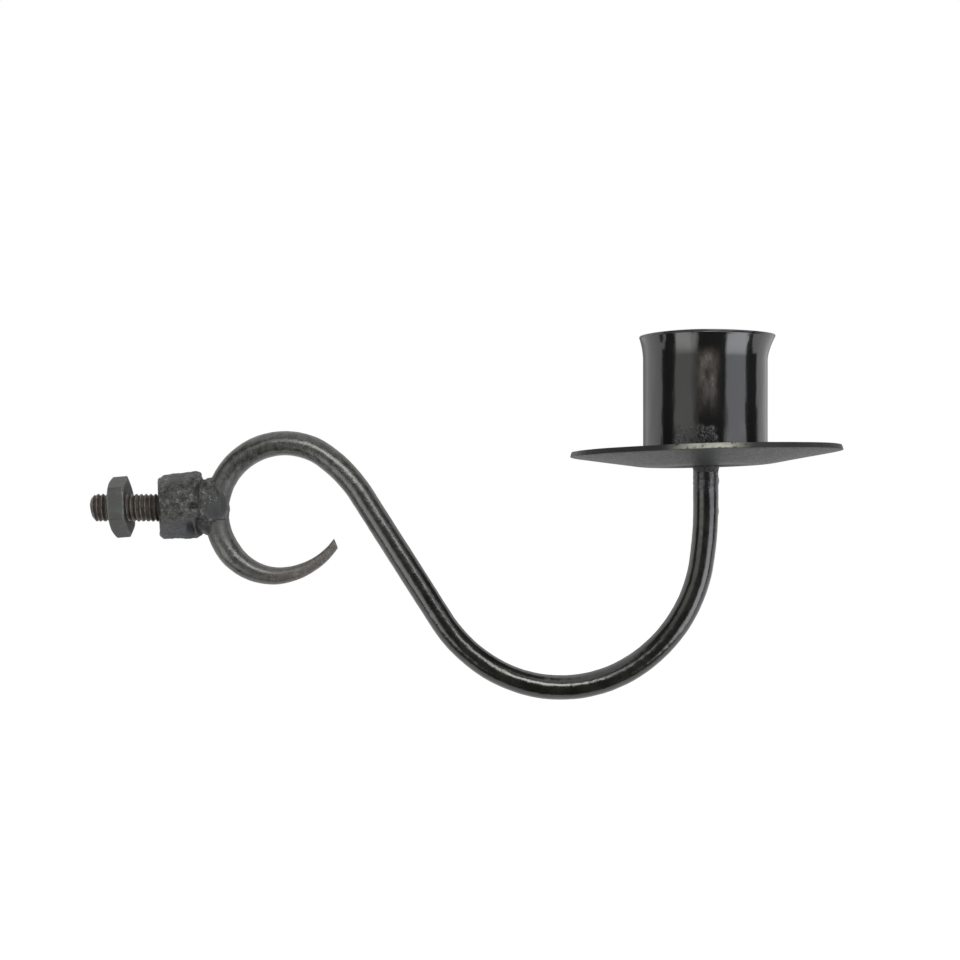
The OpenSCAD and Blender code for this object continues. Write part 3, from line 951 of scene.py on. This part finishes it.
class SCONCE_OT_welds(bpy.types.Operator):
    """Lays the two beads between boss and ring, the fillet under the pan and the tack at the cup's foot"""
    bl_idname = "sconce.welds"
    bl_label = "Welds"

    def execute(self, context):
        s, pan = measures(context, "welds"), measures(context, "pan")
        upper = weld_rings(UPPER_WELD, s.split, 1, s.lumpy, 31)
        lower = weld_rings(LOWER_WELD, s.split + 0.5, -1, s.lumpy, 41)
        fillet = self.fillet(s, measures(context, "arm"), pan)
        tack = self.tack(s, measures(context, "cup"), pan)
        # the fillet in the corner under the pan is darkened nearly all over: painted shade, with smoke-black
        sooty = held(0.75 + 0.5 * lumps(fillet, 0.9, 53))
        pieces = (
            (skin("upper_weld_bead", upper, marks=self.bead_marks(upper)), "upper_weld"),
            (skin("lower_weld_bead", lower, marks=self.bead_marks(lower)), "lower_weld"),
            (skin("pan_weld_fillet", fillet, closed_along=True, marks={"soot": sooty}), "pan_weld"),
            (skin("cup_weld_tack", tack), "cup_weld"),
        )
        paint = weld_paint(context.scene.sconce_finishes)
        for piece, node in pieces:
            seat(piece, "sconce", node, paint)
        return {"FINISHED"}

    @staticmethod
    def bead_marks(rings):
        """Smoke-black and painted shade next to the boss, on the lower weld's underside and in the hollows,
        and the smooth blob in front.
        """
        x, y, z = axes(rings)
        blob = np.hypot((x - 17.2) / 3.2, (z - 0.9) / 4.2)
        dark = 0.75 * ramp(x, 13.9, 12.9) * ramp(z, 4.5, 2.5) + 0.5 * ramp(z, -3.6, -4.4)
        return {
            "soot": held(dark + 1.3 * dips(rings, WELD_DIPS)),
            "under": 0.0,
            "smooth": ramp(blob, 1.3, 0.7) * (y < 0),
            # painted highlight: a patch of glint specks on the weld's front, above the blob
            "glints": hump((x - 15.4) / 1.7, (z - 6.4) / 1.9) * (y < 0),
        }

    @staticmethod
    def fillet(s, arm, pan):
        """A lumpy fillet round the bar's top, under the pan."""
        cosine, sine = lathe_axes(72)
        # it reaches into the bar and the pan a little
        bar = arm.thick_top / 2 - 0.3
        wide, high = s.fillet_wide + 0.1, s.fillet_high
        outline = ((bar, 0.05), (bar + wide, 0.05), (bar + 0.62 * wide, -0.24 * high),
                   (bar + 0.4 * wide, -0.6 * high), (bar + 0.27, -high), (bar, -high - 0.1),
                   (bar, -0.5 * high))
        rows = []
        for radius, down in outline:
            if radius > bar:
                points = xyz(cosine * 3, sine * 3, down)
                radius = bar + (radius - bar) * (1 + 0.09 * lumps(points, 1.3, 51))
                down = down * (1 + 0.25 * lumps(points, 1.8, 52))
            rows.append(xyz(radius * cosine, radius * sine, down))
        return on_pan(pan, np.array(rows), 0.0)

    @staticmethod
    def tack(s, cup, pan):
        """A lumpy bead in the corner between the cup's foot and the pan."""
        count = 70
        step = np.arange(count)[:, None]
        around = s.tack_from + s.tack_span * step / (count - 1)
        cosine, sine = lathe_axes(28)
        # it thins out at both ends, and ripples
        fade = np.sqrt(np.clip(np.minimum(step, count - 1 - step) / 5, 0.03, 1))
        size = s.tack * fade * (1 + 0.1 * np.sin(step * 1.1))
        radius = cup.across / 2 + 0.3 + 0.49 * size * np.abs(cosine) ** 0.8 * np.sign(cosine)
        bead = xyz(radius * np.cos(around), radius * np.sin(around), 0.495 * size * sine + 0.55)
        rings = on_pan(pan, bead, pan.sheet - 0.12)
        push = 0.22 * lumps(rings, 1.3, 61) + 0.1 * lumps(rings, 0.6, 62)
        return rings + unit(rings - rings.mean(axis=1, keepdims=True)) * push[..., None]


# ---------------------------------------------------------------- pan and cup

def on_pan(pan, points, lift):
    """Points of the pan's own frame, raised by lift and carried to where the pan sits and leans."""
    a, b = -pan.pitch, -pan.lean
    x, y, z = axes(points)
    z = z + lift
    x1, z1 = x * math.cos(b) + z * math.sin(b), -x * math.sin(b) + z * math.cos(b)
    y2, z2 = y * math.cos(a) - z1 * math.sin(a), y * math.sin(a) + z1 * math.cos(a)
    return xyz(x1 + BAR_TOP[0], y2, z2 + pan.under)


def lathe(outline, sides):
    """Rings of points round Z, one for each (radius, height) of the outline."""
    cosine, sine = lathe_axes(sides)
    radius, height = np.array(outline).T[..., None]
    return xyz(radius * cosine, radius * sine, height)


def keep_inside(piece):
    """Holds a piece's points inside the frame's box."""
    low, high = CAD_BOX
    for vertex in piece.data.vertices:
        vertex.co = [min(max(vertex.co[k], low[k]), high[k]) for k in range(3)]


class SCONCE_OT_pan(bpy.types.Operator):
    """Spins the dished pan and lets its sheet run a little uneven towards the rim"""
    bl_idname = "sconce.pan"
    bl_label = "Drip Pan"

    def execute(self, context):
        s = measures(context, "pan")
        radius, floor, rise, sheet = s.radius, s.floor, s.rise, s.sheet
        # the rim is blunt and leans in a little, so that it faces slightly up
        rim = ((radius - 1.6, rise - 0.25), (radius - 0.05, rise + 0.08),
               (radius - 0.5, rise + sheet - 0.02), (radius - 2.1, rise + sheet - 0.28))
        edge = filled(rounded(rim, 0.22), 0.3)
        below = filled(rounded(((0.05, 0), (floor, 0), edge[0]), 3.0), 0.9)
        above = filled(rounded((edge[-1], (floor, sheet), (0.05, sheet)), 3.0), 0.9)
        outline = below + edge[1:-1] + above
        rings = lathe(outline, 288)
        far = held((np.hypot(rings[..., 0], rings[..., 1]) - floor) / (radius - floor))
        flat = rings * (1, 1, 0)
        rings[..., 2] += s.wavy * far * (lumps(flat, 22, 71) + 0.4 * lumps(flat, 7, 72))
        rings[..., :2] *= (1 - 0.004 * far * (0.5 + 0.5 * lumps(flat, 12, 73)))[..., None]
        r, z = np.array(outline).T[..., None]
        blunt = np.zeros(r.shape)
        blunt[len(below) - 1:len(below) - 1 + len(edge)] = 1
        facing = blunt * ramp(r, radius - 1.0, radius - 0.5) * ramp(z, rise - 0.05, rise + 0.2)
        front = np.degrees(np.arctan2(rings[..., 1], rings[..., 0])) + 90
        marks = {
            "rim": facing * ramp(np.abs(front), 82, 62),
            "sooty": ramp(r, 15, 5),
            # painted highlight: bright metal on the rim's front and, fainter, at its far left and right
            "bare": facing * np.maximum(ramp(np.abs(front + 6.5), 19, 4),
                                        0.4 * ramp(np.abs(np.abs(front) - 88), 24, 6)),
        }
        piece = skin("drip_pan_sheet", on_pan(s, rings, 0.0), marks=marks)
        keep_inside(piece)
        seat(piece, "sconce", "drip_pan", pan_paint(context.scene.sconce_finishes))
        return {"FINISHED"}


class SCONCE_OT_cup(bpy.types.Operator):
    """Spins the cup, flares its mouth more on the far side, and marks its worn front and gritty foot"""
    bl_idname = "sconce.cup"
    bl_label = "Candle Cup"

    def execute(self, context):
        s, pan = measures(context, "cup"), measures(context, "pan")
        outer, wall, lip, floor, flare = s.across / 2, s.wall, s.lip, s.floor, s.flare
        foot = pan.under + pan.sheet
        half = wall / 2
        outline = [(0.05, foot), (6, foot), (12, foot), (outer - 0.3, foot), (outer, foot + 0.25)]
        outline += [(outer, z) for z in np.arange(foot + 0.8, lip - flare - 0.4, 0.8)]
        outline += [(outer, lip - flare + flare * k / 16) for k in range(16)]
        outline += [(outer - half + half * math.cos(a), lip - half + half * math.sin(a))
                    for a in np.linspace(0, math.pi, 11)]
        outline += [(outer - wall, z) for z in np.arange(lip - 1.2, floor + 0.6, -0.8)]
        outline += [(outer - wall, floor + 0.3), (outer - wall - 0.3, floor), (9, floor), (0.05, floor)]
        x, y, z = axes(lathe(outline, 240))
        around = np.arctan2(y, x)
        radius = np.hypot(x, y)
        up = held((z - (lip - flare)) / flare)
        far_side = 0.5 + 0.5 * np.cos(around)
        spread = s.flare_wall_side + (s.flare_far_side - s.flare_wall_side) * far_side
        grown = radius + spread * up ** (2 - 0.4 * far_side) * held(radius - outer + wall + 1)
        grown += s.dent * lumps(xyz(x, y, z * 0.4), 11, 81) * held(radius - 14)
        factor = grown / np.maximum(radius, 1e-6)
        droop = 0.4 * held(-np.cos(around)) ** 2 + 0.3 * held(np.cos(around + 0.6)) ** 2
        rings = xyz(x * factor, y * factor, z - up * droop)
        # the foot follows the leaning pan
        tilted = on_pan(pan, rings * (1, 1, 0), pan.sheet)
        rings[..., 2] = np.where(np.abs(z - foot) < 0.3, tilted[..., 2] + (z - foot), rings[..., 2])
        rings[..., 0] += BAR_TOP[0] - s.shift * ramp(z, foot, foot + 1)
        front = np.degrees(around) + 90
        grit = ramp(z, foot + 11, foot + 4) * ramp(np.abs(front + 17), 22, 12)
        outside = held((radius - outer + 0.4) / 0.3)
        bead = grit * outside * 0.3 * held(lumps(rings, 0.9, 83) + 0.1)
        rings += xyz(bead * np.cos(around), bead * np.sin(around), 0)
        # the worn patch is densest below the flare and thins out downwards
        worn = ramp(np.abs(front + 6), 14, 3) * ramp(z, 47, 43) * ramp(z, 24, 36)
        piece = skin("candle_cup_tube", rings, marks={"worn": worn * outside, "grit": grit * outside})
        keep_inside(piece)
        seat(piece, "sconce", "candle_cup", cup_paint(context.scene.sconce_finishes))
        return {"FINISHED"}


# ---------------------------------------------------------------- camera, floor and lamps

# Distance of the lamps' panels from the upright line that they stand round, and that line's x, in metres
LAMP_AWAY = 0.8
LAMP_MIDDLE = 0.1
# Each soft lamp is built up from panels. Its rows run from its foot to its head: lowest and highest
# elevation in degrees, and brightness as a share of the lamp's own
SIDE_ROWS = ((-34, -14, 3.0), (-14, -8, 2.7), (-8, -4, 2.1), (-4, -1, 1.7), (-1, 2, 1.3), (2, 28, 1.0))
WINDOW_ROWS = ((-34, -14, 2.3), (-14, -8, 2.2), (-8, -4, 2.0), (-4, -1, 1.7), (-1, 2, 1.3), (2, 28, 1.0))
TOP_ROWS = ((18.5, 38, 1.0),)
# Its columns go across it: azimuth and half the width in degrees, and brightness as a share of the row's
SIDE_COLUMNS = ((-47, 16.5, 1.0), (-27.5, 3, 0.7), (-22, 2.5, 0.35))
WINDOW_COLUMNS = ((34, 2, 0.5), (54.5, 18.5, 1.0))
TOP_COLUMNS = ((-12, 9, 0.35), (9, 12, 1.3), (31, 10, 0.75))
# Each lamp's name, which is also its brightness among the stage's properties, then its panels and colour
LAMPS = (
    ("side_lamp", SIDE_COLUMNS, SIDE_ROWS, (1, 1, 0.98)),
    ("window_lamp", WINDOW_COLUMNS, WINDOW_ROWS, (0.94, 0.955, 1)),
    ("top_lamp", TOP_COLUMNS, TOP_ROWS, (1, 1, 0.96)),
)
# Corners of the floor in metres, its grey, its glow to the camera and in reflections, and the glow's share
FLOOR_CORNERS = ((-3, -0.1), (3, -0.1), (3, 4), (-3, 4))
FLOOR_GREY = (0.86, 0.86, 0.86)
FLOOR_GLOW = 1.32
GLOW_SHARE = 0.75


def panel(name, azimuth, half_wide, low, high, brightness, colour):
    """A soft lamp panel between two elevations. Azimuth 0 is the camera's side and 90 is +X."""
    lamp = bpy.data.lights.new(name, "AREA")
    lamp.shape = "RECTANGLE"
    foot = LAMP_AWAY * math.tan(math.radians(low))
    head = LAMP_AWAY * math.tan(math.radians(high))
    lamp.size = 2 * LAMP_AWAY * math.tan(math.radians(half_wide))
    lamp.size_y = head - foot
    lamp.energy = brightness * math.pi * lamp.size * lamp.size_y
    lamp.color = colour
    stand = bpy.data.objects.new(name, lamp)
    turn = math.radians(azimuth)
    along, out = LAMP_AWAY * math.sin(turn), LAMP_AWAY * math.cos(turn)
    stand.location = (LAMP_MIDDLE + along, -out, (foot + head) / 2)
    stand.rotation_euler = (math.radians(90), 0, turn)
    stand.visible_camera = False
    bpy.context.scene.collection.objects.link(stand)


class SCONCE_OT_stage(bpy.types.Operator):
    """Sets up the camera, the pale floor, the white surroundings and the soft lamps"""
    bl_idname = "sconce.stage"
    bl_label = "Stage"

    def execute(self, context):
        s = context.scene.sconce_stage
        scene = context.scene
        scene.view_settings.view_transform = "Standard"
        lens = bpy.data.cameras.new("camera")
        lens.lens = s.lens
        lens.sensor_width = 36
        lens.clip_start, lens.clip_end = 0.01, 50
        camera = bpy.data.objects.new("camera", lens)
        camera.location = s.camera_at
        camera.rotation_euler = (math.radians(90), 0, 0)
        scene.collection.objects.link(camera)
        scene.camera = camera
        self.surroundings(scene, s)
        self.floor(s)
        for name, columns, rows, colour in LAMPS:
            for azimuth, half_wide, part in columns:
                for low, high, share in rows:
                    glow = part * share * getattr(s, name)
                    panel(f"{name}_{azimuth}_{high}", azimuth, half_wide, low, high, glow, colour)
        return {"FINISHED"}

    @staticmethod
    def surroundings(scene, s):
        """White behind the object and to the camera, a dim room on the camera's side, soft light on it."""
        scene.world = bpy.data.worlds.new("studio")
        scene.world.use_nodes = True
        world = Nodes(scene.world.node_tree)
        path = world.node("LightPath").outputs
        place = world.node("SeparateXYZ", {0: world.node("TexCoord").outputs["Generated"]}).outputs
        # the dark of the room reaches further round on the far side than on the wall side
        shifted = world.math("MULTIPLY_ADD", place["X"], -0.07, place["Y"])
        walls = world.span(shifted, 0.06, 0.15, 0.03, 1)
        walls = world.times(walls, world.span(place["Y"], 0.78, 0.97, 1, 0.33))
        around = world.math("MAXIMUM", walls, world.span(place["Z"], 0.7, 0.85, 0, 0.9))
        mirrored = world.blend(path["Is Glossy Ray"], s.room, around, kind="FLOAT")
        seen = world.math("MAXIMUM", path["Is Camera Ray"], path["Is Transmission Ray"])
        background = world.tree.nodes["Background"].inputs
        world.put((1, 1, 1), background["Color"])
        world.put(world.blend(seen, mirrored, 1.0, kind="FLOAT"), background["Strength"])

    @staticmethod
    def floor(s):
        """A pale floor below and behind the object, which keeps its shadow."""
        mesh = bpy.data.meshes.new("floor")
        mesh.from_pydata([(x, y, s.floor_z) for x, y in FLOOR_CORNERS], [], [(0, 1, 2, 3)])
        floor = bpy.data.objects.new("floor", mesh)
        bpy.context.scene.collection.objects.link(floor)
        material = bpy.data.materials.new("pale_floor")
        material.use_nodes = True
        pale = Nodes(material.node_tree)
        pale.tree.nodes.remove(pale.tree.nodes["Principled BSDF"])
        chalk = pale.node("BsdfDiffuse", {"Color": FLOOR_GREY})
        glow = pale.node("Emission", {"Strength": FLOOR_GLOW})
        path = pale.node("LightPath").outputs
        seen = pale.math("MAXIMUM", path["Is Camera Ray"], path["Is Glossy Ray"])
        shaders = {0: pale.times(seen, GLOW_SHARE), 1: chalk.outputs[0], 2: glow.outputs[0]}
        mixed = pale.node("MixShader", shaders).outputs[0]
        pale.put(mixed, pale.tree.nodes["Material Output"].inputs["Surface"])
        mesh.materials.append(material)


class SCONCE_PT_pieces(bpy.types.Panel):
    """Lists the sconce's pieces and the stage"""
    bl_idname = "SCONCE_PT_pieces"
    bl_label = "Wall Sconce"
    bl_space_type = "VIEW_3D"
    bl_region_type = "UI"
    bl_category = "Sconce"

    def draw(self, context):
        for made in PIECES:
            self.layout.operator(made.bl_idname)


GROUPS = {
    "sconce_finishes": SconceFinishes,
    "sconce_stud": SconceStud,
    "sconce_nut": SconceNut,
    "sconce_boss": SconceBoss,
    "sconce_arm": SconceArm,
    "sconce_welds": SconceWelds,
    "sconce_pan": SconcePan,
    "sconce_cup": SconceCup,
    "sconce_stage": SconceStage,
}
PIECES = (SCONCE_OT_stage, SCONCE_OT_arm, SCONCE_OT_boss, SCONCE_OT_welds, SCONCE_OT_stud, SCONCE_OT_nut,
          SCONCE_OT_pan, SCONCE_OT_cup)


def register():
    for kind in (*GROUPS.values(), *PIECES, SCONCE_PT_pieces):
        bpy.utils.register_class(kind)
    for name, group in GROUPS.items():
        setattr(bpy.types.Scene, name, PointerProperty(type=group))


def unregister():
    for name in GROUPS:
        delattr(bpy.types.Scene, name)
    for kind in reversed((*GROUPS.values(), *PIECES, SCONCE_PT_pieces)):
        bpy.utils.unregister_class(kind)


def main():
    register()
    bpy.ops.sconce.stage()
    bpy.ops.sconce.arm()
    bpy.ops.sconce.boss()
    bpy.ops.sconce.welds()
    bpy.ops.sconce.stud()
    bpy.ops.sconce.nut()
    bpy.ops.sconce.pan()
    bpy.ops.sconce.cup()


if __name__ == "__main__":
    main()
